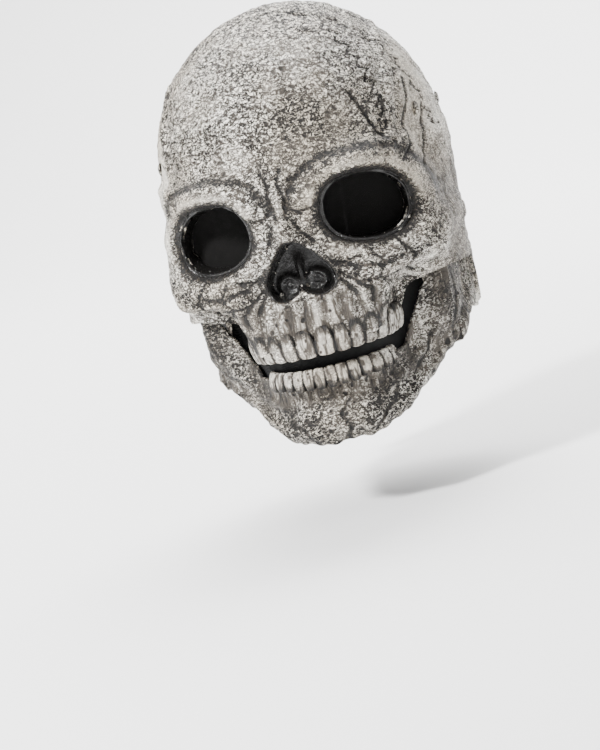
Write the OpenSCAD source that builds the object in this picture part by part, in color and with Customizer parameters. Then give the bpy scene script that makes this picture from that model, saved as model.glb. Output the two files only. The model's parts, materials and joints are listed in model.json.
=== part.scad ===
// Full-head skull mask with a moving jaw.
// Two thin rubber castings hang on a plastic head frame and jaw frame.
// Millimetres. +X is the wearer's left, -Y is the face, +Z is up.
// The origin lies on the jaw hinge line, midway between the temples.

/* [Overall] */
// width of the mask across the cheekbones
mask_width = 188; // [170:1:226]
// depth of the mask from forehead to back of the head
mask_depth = 236; // [205:1:270]
// height of the mask from crown to chin
mask_height = 272; // [226:1:310]
// thickness of the rubber skins
skin_wall = 2.6; // [2.0:0.1:3.4]

/* [Face] */
// width of each eye opening
eye_w = 52; // [42:1:58]
// height of each eye opening
eye_h = 39; // [32:1:45]
// distance between the middles of the eye sockets
eye_spacing = 102; // [94:1:110]
// turn of each eye socket away from straight ahead
eye_turn = 18; // [12:1:24]
// depth of the screen behind the middle of the socket mouth
screen_depth = 23; // [18:0.5:26]
// thickness of the eye screens
screen_t = 1.2; // [0.8:0.1:2.0]
// length of the upper middle teeth
upper_tooth_h = 14; // [10:0.5:18]
// length of the lower middle teeth
lower_tooth_h = 10; // [7:0.5:13]
// open gap between upper and lower teeth
mouth_gap = 7.5; // [6:0.5:14]

/* [Jaw hinge] */
// radius of the hinge post
post_r = 3.0; // [2.4:0.1:4.0]
// running clearance between the hinge post and its bush
post_clear = 0.05; // [0.02:0.01:0.09]
// wall of the hinge bush
bush_wall = 2.0; // [1.4:0.1:3.0]
// flange thickness of the hinge bush
bush_flange = 1.0; // [0.8:0.1:1.6]
// thickness of the plastic frames
frame_t = 2.4; // [1.8:0.1:3.0]
// radius of the frame bosses around the hinge
boss_r = 12; // [10:0.5:14]

/* [Head frame and pads] */
// height of the head band
band_h = 18; // [14:1:24]
// level of the bottom of the head band above the hinge
band_z = 62; // [56:1:70]
// thickness of the foam pads
pad_t = 9; // [6:0.5:12]
// thickness of the foam pads at the temples
temple_pad_t = 6; // [4:0.5:8]
// radius of the rivet shanks
rivet_r = 2.0; // [1.5:0.1:2.6]

/* [Strap and closure] */
// width of the rear strap
strap_w = 25; // [20:1:30]
// thickness of the rear strap
strap_t = 1.6; // [1.2:0.1:2.4]
// gap between strap and slider
slider_gap = 0.5; // [0.35:0.05:0.9]
// width of the slit at the back of the head
slit_w = 2.0; // [1.2:0.1:4]
// height of the top of the slit above the hinge
slit_top = 58; // [40:1:70]
// height of the closing tab
tab_h = 22; // [16:1:28]

/* [Hidden] */
kx = mask_width / 188;
ky = mask_depth / 236;
kz = mask_height / 272;

// which part to draw

// ---- colours ----
bone = [0.86, 0.83, 0.75];
black_cloth = [0.05, 0.05, 0.05];
plastic = [0.12, 0.12, 0.13];
foam = [0.25, 0.25, 0.27];
steel = [0.6, 0.6, 0.6];
webbing = [0.1, 0.1, 0.1];
nylon = [0.9, 0.9, 0.88];

// ---- small maths ----
function smax(a, b, k) = max(a, b) + pow(max(k - abs(a - b), 0), 2) / (4 * k);
function smin(a, b, k) = min(a, b) - pow(max(k - abs(a - b), 0), 2) / (4 * k);
function part_of(p, q) = [p[0] / q[0], p[1] / q[1], p[2] / q[2]];
function unit(v) = v / norm(v);
function mirrored(list) = concat(list, [for (e = list) if (e[0][0] != 0)
  [[-e[0][0], e[0][1], e[0][2]], e[1], e[2], e[3]]]);

// ---- skull surface: distance from the middle of the head along a ray ----
head_mid = [0, 0, 30];
// the plain head is an egg for the cranium, joined to an upright oval for the face and sides
cranium_mid = [0, 12, 52];
cranium_half = [94, 118, 104];
sides_half = [94, 100];
// each bump or dent is [middle, half sizes, height (dents are negative), steepness]
bumps = mirrored([
  [[42, -86, 54], [36, 24, 12], 9, 2],
  [[80, -58, 26], [14, 24, 34], 10, 2],
  [[68, -64, -8], [22, 24, 15], 8, 2],
  [[0, -104, 50], [17, 14, 12], 5, 2],
  [[0, -104, 24], [9, 16, 17], 13, 2],
  [[0, -100, -48], [40, 22, 14], 3, 2],
  [[90, -46, 50], [20, 30, 26], -9, 2],
  [[74, -84, -84], [29, 36, 54], -42, 3],
  [[eye_spacing / 2 - 3, -88, 24], [29, 40, 25], -16, 4]
]);
nose_dent = [[0, -104, -2], [19, 30, 19], -12, 3];
function oval_hit(p, q) =
  let (a = q * q, b = p * q, c = p * p - 1) (-b + sqrt(b * b - a * c)) / a;
function cranium_hit(d) = oval_hit(part_of(head_mid - cranium_mid, cranium_half), part_of(d, cranium_half));
function sides_hit(d) =
  let (h = oval_hit([0, 5 / sides_half[1]], [d[0] / sides_half[0], d[1] / sides_half[1]]))
  smin(h, 30 / max(d[2], 0.05), 14);
function bump_at(p, e) = let (v = part_of(p - e[0], e[1])) e[2] * exp(-pow(v * v, e[3] / 2));
function sum_of(list, p, i = 0) = i >= len(list) ? 0 : bump_at(p, list[i]) + sum_of(list, p, i + 1);
function aim(az, el) = [sin(az) * cos(el), -cos(az) * cos(el), sin(el)];
function skull_point(az, el) =
  let (d = aim(az, el), r = el > 80 ? cranium_hit(d) : smax(cranium_hit(d), sides_hit(d), 12),
    p = head_mid + d * r,
    q = p + d * (sum_of(bumps, p) + bump_at(p, nose_dent)))
  [q[0] * kx, q[1] * ky, q[2] * kz];
function skull_normal(az, el) =
  let (step = 1.2,
    u = skull_point(az + step, el) - skull_point(az - step, el),
    v = skull_point(az, el + step) - skull_point(az, el - step))
  el > 89 ? [0, 0, 1] : unit(cross(u, v));
function skull_inset(az, el, t) = skull_point(az, el) - t * skull_normal(az, el);

// lower edge of the skull skin, as an angle below level, around the head
function rim_angle(az) = -lookup(abs(az),
  [[0, 35.6], [12, 36.4], [24, 38.6], [32, 41], [40, 43.5], [47, 41], [53, 33], [60, 31], [90, 32.5], [99, 34],
   [106, 44], [114, 47], [140, 45.5], [180, 43.5]]);

// ---- closed skins made from rows of points ----
cols = 60;
rows = 30;
function col_az(i) = let (u = -180 + 360 * i / cols) u - 26 * sin(u);
function row_el(az, j) = let (b = rim_angle(az), v = j / rows) b + (90 - b) * pow(v, 1.3);
function skull_rows(t) = [for (j = [0 : rows - 1]) for (i = [0 : cols - 1])
  skull_inset(col_az(i), row_el(col_az(i), j), t)];
function ring_faces(base, flip) = [for (j = [0 : rows - 2]) for (i = [0 : cols - 1])
  let (n = (i + 1) % cols, a = base + j * cols + i, b = base + j * cols + n,
       c = base + (j + 1) * cols + n, d = base + (j + 1) * cols + i)
  for (f = flip ? [[a, b, c], [a, c, d]] : [[a, c, b], [a, d, c]]) f];
function cap_faces(base, tip, flip) = [for (i = [0 : cols - 1])
  let (n = (i + 1) % cols, a = base + (rows - 1) * cols + i, b = base + (rows - 1) * cols + n)
  flip ? [a, b, tip] : [a, tip, b]];

module skull_shell() {
  outer = skull_rows(0);
  inner = skull_rows(skin_wall);
  count = rows * cols;
  top_outer = skull_point(0, 90);
  top_inner = top_outer - [0, 0, skin_wall];
  points = concat(outer, inner, [top_outer, top_inner]);
  edge = [for (i = [0 : cols - 1]) let (n = (i + 1) % cols)
    for (f = [[i, n, count + n], [i, count + n, count + i]]) f];
  polyhedron(points = points, faces = concat(
    ring_faces(0, false), cap_faces(0, 2 * count, false),
    ring_faces(count, true), cap_faces(count, 2 * count + 1, true), edge), convexity = 12);
}

// wedge of the head around one eye, bounded by the middle of the wall, used to end the eye tube
module eye_wedge() {
  low = cols / 2;
  high = low + 15;
  top = 16;
  nr = top + 1;
  points = concat(
    [for (i = [low : high]) for (j = [0 : top]) skull_inset(col_az(i), row_el(col_az(i), j), skin_wall / 2)],
    [[head_mid[0] * kx, head_mid[1] * ky, head_mid[2] * kz]]);
  n = high - low;
  tip = (n + 1) * nr;
  function at(i, j) = i * nr + j;
  polyhedron(points = points, faces = concat(
    [for (i = [0 : n - 1]) for (j = [0 : top - 1])
      for (f = [[at(i, j), at(i + 1, j + 1), at(i + 1, j)], [at(i, j), at(i, j + 1), at(i + 1, j + 1)]]) f],
    [for (i = [0 : n - 1]) for (f = [[at(i, 0), at(i + 1, 0), tip], [at(i + 1, top), at(i, top), tip]]) f],
    [for (j = [0 : top - 1]) for (f = [[at(0, j + 1), at(0, j), tip], [at(n, j), at(n, j + 1), tip]]) f]),
    convexity = 8);
}

// ---- eyes ----
socket_mid = [eye_spacing / 2 * kx, -94 * ky, 24 * kz];
module eye_outline(grow) {
  n = 20;
  polygon([for (i = [0 : n - 1]) let (a = 360 * i / n, c = cos(a), s = sin(a))
    [(eye_w / 2 + grow) * sign(c) * pow(abs(c), 0.85),
     (eye_h / 2 + grow) * sign(s) * pow(abs(s), 0.85)]]);
}
// draws its children looking out along the socket, with the socket mouth's middle at 0
module at_eye(side) {
  mirror([side < 0 ? 1 : 0, 0, 0])
    translate(socket_mid) rotate([0, 0, eye_turn]) rotate([90, 0, 0]) children();
}
module eye_tube(side) {
  intersection() {
    mirror([side < 0 ? 1 : 0, 0, 0]) eye_wedge();
    at_eye(side) translate([0, 0, -screen_depth])
      linear_extrude(height = screen_depth + 6) eye_outline(skin_wall);
  }
}
module eye_cut(side) {
  at_eye(side) translate([0, 0, -screen_depth - 6])
    linear_extrude(height = screen_depth + 36) eye_outline(0);
}
module eye_screen(side) {
  at_eye(side) translate([0, 0, -screen_depth - screen_t])
    linear_extrude(height = screen_t) eye_outline(skin_wall - 0.8);
}

// ---- teeth ----
arch_mid = [0, -60 * ky];
arch_x = 47 * kx;
arch_y = 47 * ky;
bite_z = -59 * kz;
// the teeth are flat-sided blocks standing along the arch
module tooth_row(z_low, z_high, angles, widths, grow) {
  for (i = [0 : len(angles) - 1])
    for (m = [-1, 1]) {
      a = m * angles[i];
      p = [arch_mid[0] + (arch_x + grow) * sin(a), arch_mid[1] - (arch_y + grow) * cos(a)];
      facing = atan2(sin(a) / arch_x, cos(a) / arch_y);
      short = i > 2 ? 1.5 : 0;
      translate([p[0], p[1], 0]) rotate([0, 0, facing])
        translate([-widths[i] / 2, -2.4, z_low + (z_high > bite_z ? short : 0)])
          cube([widths[i], 8, z_high - z_low - short]);
    }
}
upper_angles = [7.6, 21.5, 33.5, 45.5, 57, 69.5];
upper_widths = [11.2, 8.6, 8.6, 8, 8, 9.5];
lower_angles = [5, 15.2, 25.8, 37, 48.5, 61];
lower_widths = [7, 7, 7.4, 7.4, 7.6, 9];

module skull_skin() {
  color(bone) difference() {
    union() {
      skull_shell();
      eye_tube(1);
      eye_tube(-1);
      tooth_row(bite_z, bite_z + upper_tooth_h, upper_angles, upper_widths, 0);
    }
    eye_cut(1);
    eye_cut(-1);
    // slit up the back of the head
    translate([-slit_w / 2, 40 * ky, -120 * kz])
      cube([slit_w, 120 * ky, 120 * kz + slit_top]);
    // hinge and rivet holes
    for (s = [-1, 1]) {
      translate([s * 82 * kx, 0, 0]) rotate([0, s * 90, 0]) cylinder(h = 30, r = post_r + 0.6, $fn = 12);
      for (y = rivet_ys)
        translate([s * 74 * kx, y, rivet_z]) rotate([0, s * 90, 0]) cylinder(h = 30, r = rivet_r + 0.4, $fn = 12);
    }
    // breathing holes at the bottom of the nose hollow
    for (s = [-1, 1]) translate([s * 9 * kx, -80 * ky, -6 * kz])
      rotate([90, 0, 0]) cylinder(h = 30, r = 2.5, $fn = 8);
  }
}

module left_eye_screen() { color(black_cloth) eye_screen(1); }
module right_eye_screen() { color(black_cloth) eye_screen(-1); }

// ---- jaw skin: a band around the chin that rises behind the cheeks ----
jaw_mid = [0, -8];
function jaw_low_radius(a) = lookup(abs(a),
  [[0, 90], [10, 89], [22, 84], [34, 77], [45, 72.5], [58, 73], [66, 76.5], [72, 79.5], [80, 82], [92, 83.2], [104, 85.6]]);
function jaw_high_radius(a) = lookup(abs(a),
  [[0, 90], [10, 89], [22, 84], [34, 77], [45, 73.5], [50, 74.5], [56, 77], [61, 81.5], [66, 87.6], [72, 87.1], [80, 84.5], [92, 83.2], [104, 85.6]]);
function jaw_blend(z) = let (t = min(1, max(0, (z + 84) / 34))) t * t * (3 - 2 * t);
function jaw_radius(a, z) = let (h = jaw_blend(z)) jaw_low_radius(a) * (1 - h) + jaw_high_radius(a) * h;
function jaw_top(a) = lookup(abs(a),
  [[0, -75], [30, -75], [42, -72], [48, -62], [54, -48], [60, -34], [66, -17], [72, -2], [82, 12], [98, 13], [104, 6]]);
function jaw_low(a) = lookup(abs(a),
  [[0, -116], [12, -116], [24, -113], [44, -103], [62, -91], [74, -80], [90, -70], [104, -58]]);
jaw_end = 104;
jaw_cols = 52;
jaw_rows = 9;
function jaw_bulge(a, z) =
  let (c = max(0, 1 - abs(a) / 60), v = (z - jaw_low(a)) / (jaw_top(a) - jaw_low(a)))
  c * (3.5 * exp(-pow((z + 104) / 9, 2)) - 4.5 * exp(-pow((z + 86) / 8, 2)))
  + (abs(a) < 75 ? -5 * pow(max(0, 1 - v * 4), 2) : 0);
function jaw_point(a, z, t) =
  let (r = jaw_radius(a, z) + jaw_bulge(a, z) - t)
  [(jaw_mid[0] + r * sin(a)) * kx, (jaw_mid[1] - r * cos(a)) * ky, z * kz];
module wall_from(points, nc, nr) {
  count = nc * nr;
  function at(i, j) = i * nr + j;
  quads = concat(
    [for (i = [0 : nc - 2]) for (j = [0 : nr - 2])
      for (f = [[at(i, j), at(i, j + 1), at(i + 1, j + 1)], [at(i, j), at(i + 1, j + 1), at(i + 1, j)]]) f],
    [for (i = [0 : nc - 2]) for (j = [0 : nr - 2])
      for (f = [[at(i, j), at(i + 1, j + 1), at(i, j + 1)], [at(i, j), at(i + 1, j), at(i + 1, j + 1)]])
        [count + f[0], count + f[1], count + f[2]]],
    [for (i = [0 : nc - 2]) for (f = [[at(i, 0), at(i + 1, 0), count + at(i + 1, 0)],
      [at(i, 0), count + at(i + 1, 0), count + at(i, 0)]]) f],
    [for (i = [0 : nc - 2]) for (f = [[at(i, nr - 1), count + at(i + 1, nr - 1), at(i + 1, nr - 1)],
      [at(i, nr - 1), count + at(i, nr - 1), count + at(i + 1, nr - 1)]]) f],
    [for (j = [0 : nr - 2]) for (f = [[at(0, j), count + at(0, j + 1), at(0, j + 1)],
      [at(0, j), count + at(0, j), count + at(0, j + 1)]]) f],
    [for (j = [0 : nr - 2]) for (f = [[at(nc - 1, j), at(nc - 1, j + 1), count + at(nc - 1, j + 1)],
      [at(nc - 1, j), count + at(nc - 1, j + 1), count + at(nc - 1, j)]]) f]);
  polyhedron(points = points, faces = quads, convexity = 8);
}

module jaw_skin() {
  nc = jaw_cols + 1;
  nr = jaw_rows + 1;
  points = [for (t = [0, skin_wall]) for (i = [0 : jaw_cols]) for (j = [0 : jaw_rows])
    let (a = -jaw_end + 2 * jaw_end * i / jaw_cols, z = jaw_low(a) + (jaw_top(a) - jaw_low(a)) * j / jaw_rows)
    jaw_point(a, z, t)];
  color(bone) difference() {
    union() {
      wall_from(points, nc, nr);
      tooth_row(lower_z - lower_tooth_h, lower_z, lower_angles, lower_widths, -5);
    }
    for (s = [-1, 1]) {
      translate([s * 70 * kx, 0, 0]) rotate([0, s * 90, 0]) cylinder(h = 30, r = post_r + 2.5, $fn = 12);
      translate([s * 66 * kx, jaw_rivet_y, jaw_rivet_z]) rotate([0, s * 90, 0])
        cylinder(h = 30, r = rivet_r + 0.4, $fn = 12);
    }
  }
}
lower_z = bite_z - mouth_gap;

// ---- hinge stack, from the outside in ----
skull_in_x = 94 * kx - skin_wall;
jaw_out_x = 83.4 * kx;
jaw_in_x = jaw_out_x - skin_wall - 0.9;
arm_out_x = jaw_in_x - 0.4;
arm_in_x = arm_out_x - frame_t;
plate_out_x = arm_in_x - bush_flange - 0.2;
plate_in_x = plate_out_x - frame_t;
washer_t = 0.8;
post_in_x = plate_in_x - washer_t - 1.4;
post_out_x = 94.6 * kx;
bush_r = post_r + post_clear;
bush_out = bush_r + bush_wall;

module on_axis(s, x) { translate([s * x, 0, 0]) rotate([0, s * 90, 0]) children(); }
module hinge_post(s) {
  color(steel) {
    on_axis(s, post_in_x) cylinder(h = 1.4, r = post_r + 2, $fn = 36);
    on_axis(s, post_in_x) cylinder(h = post_out_x - post_in_x + 0.5, r = post_r, $fn = 36);
    on_axis(s, post_out_x) cylinder(h = 1.0, r = post_r + 3, $fn = 36);
    on_axis(s, post_out_x + 1.0) cylinder(h = 1.0, r1 = post_r + 3, r2 = post_r + 1.2, $fn = 36);
  }
}
module hinge_washer(s) {
  color(steel) difference() {
    on_axis(s, plate_in_x - washer_t) cylinder(h = washer_t, r = post_r + 3.4, $fn = 36);
    on_axis(s, plate_in_x - 5) cylinder(h = 10, r = post_r + 0.1, $fn = 36);
  }
}
module hinge_bush(s) {
  color(nylon) difference() {
    union() {
      on_axis(s, arm_in_x - bush_flange) cylinder(h = bush_flange, r = bush_out + 2, $fn = 36);
      on_axis(s, arm_in_x) cylinder(h = frame_t, r = bush_out, $fn = 36);
    }
    on_axis(s, arm_in_x - 10) cylinder(h = 20, r = bush_r, $fn = 36);
  }
}
module left_hinge_post() { hinge_post(1); }
module right_hinge_post() { hinge_post(-1); }
module left_hinge_washer() { hinge_washer(1); }
module right_hinge_washer() { hinge_washer(-1); }
module left_hinge_bush() { hinge_bush(1); }
module right_hinge_bush() { hinge_bush(-1); }

// ---- head frame: brow band with two ear plates ----
band_mid_y = 8 * ky;
band_x = 84.5 * kx;
band_y = 105 * ky;
band_end = 116;
band_level = band_z * kz;
module arc_block(rx, ry, t, from, to, steps) {
  polygon(concat(
    [for (i = [0 : steps]) let (a = from + (to - from) * i / steps) [rx * sin(a), band_mid_y - ry * cos(a)]],
    [for (i = [0 : steps]) let (a = to + (from - to) * i / steps) [(rx - t) * sin(a), band_mid_y - (ry - t) * cos(a)]]));
}
module head_frame() {
  color(plastic) difference() {
    union() {
      translate([0, 0, band_level]) linear_extrude(height = band_h)
        arc_block(band_x, band_y, frame_t, -band_end, band_end, 44);
      for (s = [-1, 1]) mirror([s < 0 ? 1 : 0, 0, 0]) {
        hull() {
          translate([band_x - frame_t - 1.3, band_mid_y - 14, band_level + 1]) cube([frame_t, 26, 3]);
          translate([plate_in_x, -11, 26 * kz]) cube([frame_t, 22, 3]);
        }
        translate([plate_in_x, -11, 0]) cube([frame_t, 22, 27 * kz]);
        translate([plate_in_x, 0, 0]) rotate([0, 90, 0]) cylinder(h = frame_t, r = boss_r, $fn = 40);
        translate([band_in_x - 1.6, peg_high[0], peg_high[1]]) rotate([0, 90, 0])
          cylinder(h = plate_in_x - band_in_x + 3, r = peg_r, $fn = 12);
      }
    }
    for (s = [-1, 1]) {
      on_axis(s, plate_in_x - 5) cylinder(h = 10, r = post_r + 0.1, $fn = 36);
      for (y = rivet_ys)
        translate([s * 60 * kx, y, rivet_z]) rotate([0, s * 90, 0]) cylinder(h = 30, r = rivet_r + 0.1, $fn = 24);
    }
    for (s = [-1, 1]) at_stud(s) translate([0, 0, -8]) cylinder(h = 16, r = stud_hole_r, $fn = 24);
  }
}

// ---- rivets that hold the skull skin to the band ----
rivet_ys = [-26 * ky, 30 * ky];
rivet_z = band_level + band_h / 2;
// the skin's outside at one height and depth, found by walking along the rays
function skull_side(y, z, x, n = 4) = n == 0 ? x
  : let (v = [x / kx, y / ky, z / kz] - head_mid, d = unit(v), p = skull_point(atan2(d[0], -d[1]), asin(d[2])),
      r = norm([p[0] / kx, p[1] / ky, p[2] / kz] - head_mid))
    skull_side(y, z, x + (r - norm(v)) / d[0] * kx, n - 1);
function band_x_at(y) = band_x * sqrt(1 - pow((y - band_mid_y) / band_y, 2));
module frame_rivet(s, y) {
  inner = band_x_at(y) - frame_t - 2.8;
  outer = skull_side(y, rivet_z, 90 * kx) + 0.1;
  color(steel) translate([0, y, rivet_z]) rotate([0, s * 90, 0]) {
    translate([0, 0, inner]) cylinder(h = 1.2, r = rivet_r + 1.6, $fn = 28);
    translate([0, 0, inner]) cylinder(h = outer - inner + 0.8, r = rivet_r, $fn = 28);
    translate([0, 0, outer]) cylinder(h = 1.6, r1 = rivet_r + 2.6, r2 = rivet_r + 1, $fn = 28);
  }
}
module left_front_rivet() { frame_rivet(1, rivet_ys[0]); }
module right_front_rivet() { frame_rivet(-1, rivet_ys[0]); }
module left_rear_rivet() { frame_rivet(1, rivet_ys[1]); }
module right_rear_rivet() { frame_rivet(-1, rivet_ys[1]); }

// ---- foam pads ----
pad_gap = 0.4;
module band_pad(from, to, t) {
  color(foam) translate([0, 0, band_level - 3]) linear_extrude(height = band_h + 6)
    arc_block(band_x - frame_t - pad_gap, band_y - frame_t - pad_gap, t, from, to, 14);
}
module forehead_pad() { band_pad(-40, 40, pad_t + 2); }
module temple_pad(s) {
  color(foam) translate([0, 0, band_level + 5]) linear_extrude(height = band_h + 2)
    arc_block(band_x - frame_t - pad_gap, band_y - frame_t - pad_gap, temple_pad_t, s * 76, s * 94, 8);
}
module left_temple_pad() { temple_pad(1); }
module right_temple_pad() { temple_pad(-1); }
module crown_pad() {
  color(foam) translate([0, 12 * ky, 131 * kz]) cylinder(h = 12, r1 = 34, r2 = 30, $fn = 30);
}

// ---- rear strap, its studs and its slider ----
stud_hole_r = 2.2;
stud_y = 46 * ky;
stud_x = band_x_at(stud_y);
stud_turn = atan2((stud_y - band_mid_y) / pow(band_y, 2), stud_x / pow(band_x, 2));
strap_off = strap_t / 2 + 0.2;
stud_out = [cos(stud_turn), sin(stud_turn)];
stud_along = [-sin(stud_turn), cos(stud_turn)];
strap_start = [stud_x, stud_y] + stud_out * strap_off - stud_along * 8;
strap_leave = [stud_x, stud_y] + stud_out * strap_off + stud_along * 9;
run_from = [70 * kx, 71 * ky];
run_to = [40 * kx, 105 * ky];
run_dir = (run_to - run_from) / norm(run_to - run_from);
run_out = [run_dir[1], -run_dir[0]];
strap_back = [25 * kx, 112.5 * ky];
strap_half = [strap_start, strap_leave, run_from, run_to, strap_back];
strap_path = concat(strap_half, [for (i = [4 : -1 : 0]) [-strap_half[i][0], strap_half[i][1]]]);
// the strap's upper edge keeps its level in the cranium, which draws in above it
strap_edge = (band_z + 21.5) * kz;
strap_level = strap_edge - strap_w / 2;
function path_side(p, i) =
  let (a = p[max(i - 1, 0)], b = p[min(i + 1, len(p) - 1)], d0 = p[i] - a, d1 = b - p[i],
    e0 = norm(d0) > 0 ? d0 / norm(d0) : d1 / norm(d1), e1 = norm(d1) > 0 ? d1 / norm(d1) : e0,
    m = (e0 + e1) / norm(e0 + e1), k = m * e0)
  [m[1], -m[0]] / k;
module strip(path, t) {
  n = len(path) - 1;
  polygon(concat([for (i = [0 : n]) path[i] + path_side(path, i) * t / 2],
    [for (i = [n : -1 : 0]) path[i] - path_side(path, i) * t / 2]));
}
module at_stud(s) {
  mirror([s < 0 ? 1 : 0, 0, 0])
    translate([stud_x, stud_y, strap_level]) rotate([0, 0, stud_turn]) rotate([0, 90, 0]) children();
}
module rear_strap() {
  color(webbing) difference() {
    translate([0, 0, strap_level - strap_w / 2]) linear_extrude(height = strap_w) strip(strap_path, strap_t);
    for (s = [-1, 1]) at_stud(s) translate([0, 0, -8]) cylinder(h = 16, r = stud_hole_r, $fn = 24);
  }
}
module strap_stud(s) {
  low = -frame_t - 1.4;
  high = strap_off + strap_t / 2 + 0.1;
  color(steel) at_stud(s) {
    translate([0, 0, low]) cylinder(h = high - low + 0.5, r = stud_hole_r - 0.1, $fn = 24);
    translate([0, 0, low]) cylinder(h = 1.2, r = stud_hole_r + 1.6, $fn = 24);
    translate([0, 0, high]) cylinder(h = 1.2, r1 = stud_hole_r + 2, r2 = stud_hole_r + 1, $fn = 24);
  }
}
module left_strap_stud() { strap_stud(1); }
module right_strap_stud() { strap_stud(-1); }
slider_len = 16;
slider_wall = 1.6;
module strap_slider() {
  mid = (run_from + run_to) / 2;
  inner_t = strap_t + 2 * slider_gap;
  inner_h = strap_w + 2 * slider_gap;
  color(nylon) translate([mid[0], mid[1], strap_level])
    rotate([0, 0, atan2(run_dir[1], run_dir[0])]) difference() {
      cube([slider_len, inner_t + 2 * slider_wall, inner_h + 2 * slider_wall + 1], center = true);
      cube([slider_len + 4, inner_t, inner_h], center = true);
      for (x = [-3.6, 3.6]) translate([x, 0, 0])
        cube([3.4, inner_t + 6, inner_h - 6], center = true);
    }
}
module nape_pad() {
  color(foam) translate([-22 * kx, strap_back[1] - strap_t / 2 - 0.4 - pad_t, strap_level - 14])
    cube([44 * kx, pad_t, 28]);
}

// ---- black cloth behind the teeth ----
cloth_top = -41 * kz;
cloth_low = -74 * kz;
module mouth_cloth() {
  nc = 23;
  drop = [[cloth_low, 13], [cloth_low + (cloth_top - cloth_low) * 0.45, 13],
    [cloth_low + (cloth_top - cloth_low) * 0.75, 9], [cloth_top, 5.5]];
  points = [for (t = [0, 0.8]) for (i = [0 : nc - 1]) for (r = drop)
    let (a = -64 + 128 * i / (nc - 1), g = r[1] + t)
    [arch_mid[0] + (arch_x - g) * sin(a), arch_mid[1] - (arch_y - g) * cos(a), r[0]]];
  color(black_cloth) wall_from(points, nc, len(drop));
}

// ---- jaw frame, its chin pad and rivets ----
frame_off = skin_wall + 0.5;
function jaw_belt(a) = lookup(abs(a), [[0, -98], [30, -96], [50, -88], [72, -76], [84, -66], [92, -60]]);
peg_r = 1.8;
peg_low = [-24 * ky, -31 * kz];
peg_high = [-6 * ky, 20 * kz];
band_in_x = plate_in_x - 2.6;
jaw_rivet_y = -8 * ky;
jaw_rivet_z = -25 * kz;
module jaw_frame() {
  nc = 41;
  points = [for (t = [frame_off, frame_off + frame_t]) for (i = [0 : nc - 1]) for (j = [0 : 2])
    let (a = -92 + 184 * i / (nc - 1)) jaw_point(a, jaw_belt(a) - 7 + 7 * j, t)];
  color(plastic) difference() {
    union() {
      wall_from(points, nc, 3);
      for (s = [-1, 1]) mirror([s < 0 ? 1 : 0, 0, 0]) {
        translate([arm_in_x, 0, 0]) rotate([90, 0, 90]) linear_extrude(height = frame_t)
          polygon([[-boss_r, 0], [-20 * ky, -20 * kz], [-29 * ky, -26 * kz], [-29 * ky, -36 * kz],
            [-15 * ky, -46 * kz], [-13 * ky, -70 * kz], [2 * ky, -66 * kz], [8 * ky, -46 * kz], [boss_r, 0]]);
        translate([arm_in_x, 0, 0]) rotate([0, 90, 0]) cylinder(h = frame_t, r = boss_r, $fn = 40);
        translate([band_in_x - 1.6, peg_low[0], peg_low[1]]) rotate([0, 90, 0])
          cylinder(h = arm_in_x - band_in_x + 2, r = peg_r, $fn = 12);
      }
    }
    for (s = [-1, 1]) {
      on_axis(s, arm_in_x - 5) cylinder(h = 10, r = bush_out, $fn = 36);
      translate([s * (arm_in_x - 5), jaw_rivet_y, jaw_rivet_z]) rotate([0, s * 90, 0])
        cylinder(h = 10, r = rivet_r + 0.1, $fn = 24);
    }
  }
}
module chin_pad() {
  nc = 17;
  points = [for (t = [frame_off + frame_t + 0.4, frame_off + frame_t + pad_t + 1]) for (i = [0 : nc - 1])
    for (j = [0 : 2]) let (a = -34 + 68 * i / (nc - 1)) jaw_point(a, -108 + 10 * j, t)];
  color(foam) wall_from(points, nc, 3);
}
module jaw_rivet(s) {
  inner = arm_in_x - 1.4;
  outer = jaw_out_x + 0.1;
  color(steel) translate([0, jaw_rivet_y, jaw_rivet_z]) rotate([0, s * 90, 0]) {
    translate([0, 0, inner]) cylinder(h = 1.2, r = rivet_r + 1.6, $fn = 28);
    translate([0, 0, inner]) cylinder(h = outer - inner + 0.6, r = rivet_r, $fn = 28);
    translate([0, 0, outer]) cylinder(h = 1.2, r1 = rivet_r + 2, r2 = rivet_r + 1, $fn = 28);
  }
}
module left_jaw_rivet() { jaw_rivet(1); }
module right_jaw_rivet() { jaw_rivet(-1); }

// ---- elastic loops that pull the jaw shut ----
module loop_outline(grow) {
  along = peg_high - peg_low;
  turn = atan2(along[1], along[0]);
  translate(peg_low) rotate(turn) {
    circle(r = peg_r + grow, $fn = 12);
    translate([0, -peg_r - grow * cos(15)]) square([norm(along), 2 * (peg_r + grow * cos(15))]);
    translate([norm(along), 0]) circle(r = peg_r + grow, $fn = 12);
  }
}
module return_band(s) {
  color(webbing) mirror([s < 0 ? 1 : 0, 0, 0]) translate([band_in_x - 1, 0, 0]) rotate([90, 0, 90])
    linear_extrude(height = 2) difference() {
      loop_outline(1.9);
      loop_outline(0.3);
    }
}
module left_return_band() { return_band(1); }
module right_return_band() { return_band(-1); }

// ---- closure of the slit at the back ----
tab_low = -52 * kz;
tab_hinge_x = 24 * kx;
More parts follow.
